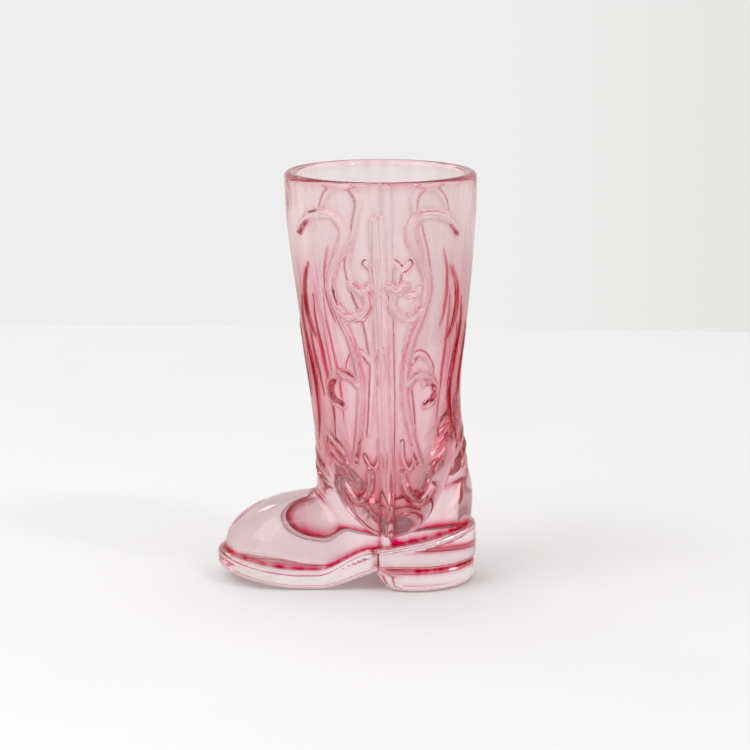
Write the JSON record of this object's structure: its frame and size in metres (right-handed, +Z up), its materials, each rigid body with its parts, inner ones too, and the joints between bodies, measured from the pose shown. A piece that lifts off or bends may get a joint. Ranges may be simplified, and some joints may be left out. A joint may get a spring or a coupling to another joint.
{
  "type": "boot shot glass",
  "caption": "Small drinking glass of pink pressed glass shaped as a western boot, with a round mouth, raised stitch scrolls on the leg and a solid foot with sole and heel.",
  "frame": {"origin": "on the table, under the middle of the foot's length and width", "axes": "+Z up out of the mouth, +X from the toe to the heel, +Y across the foot"},
  "size_m": [0.0544, 0.041, 0.086],
  "materials": {
    "pink_glass": "fire-polished pressed soda-lime glass, tinted pink"
  },
  "bodies": {
    "root": {"leg": "pink_glass", "vamp": "pink_glass", "sole": "pink_glass", "heel": "pink_glass"}
  },
  "joints": []
}
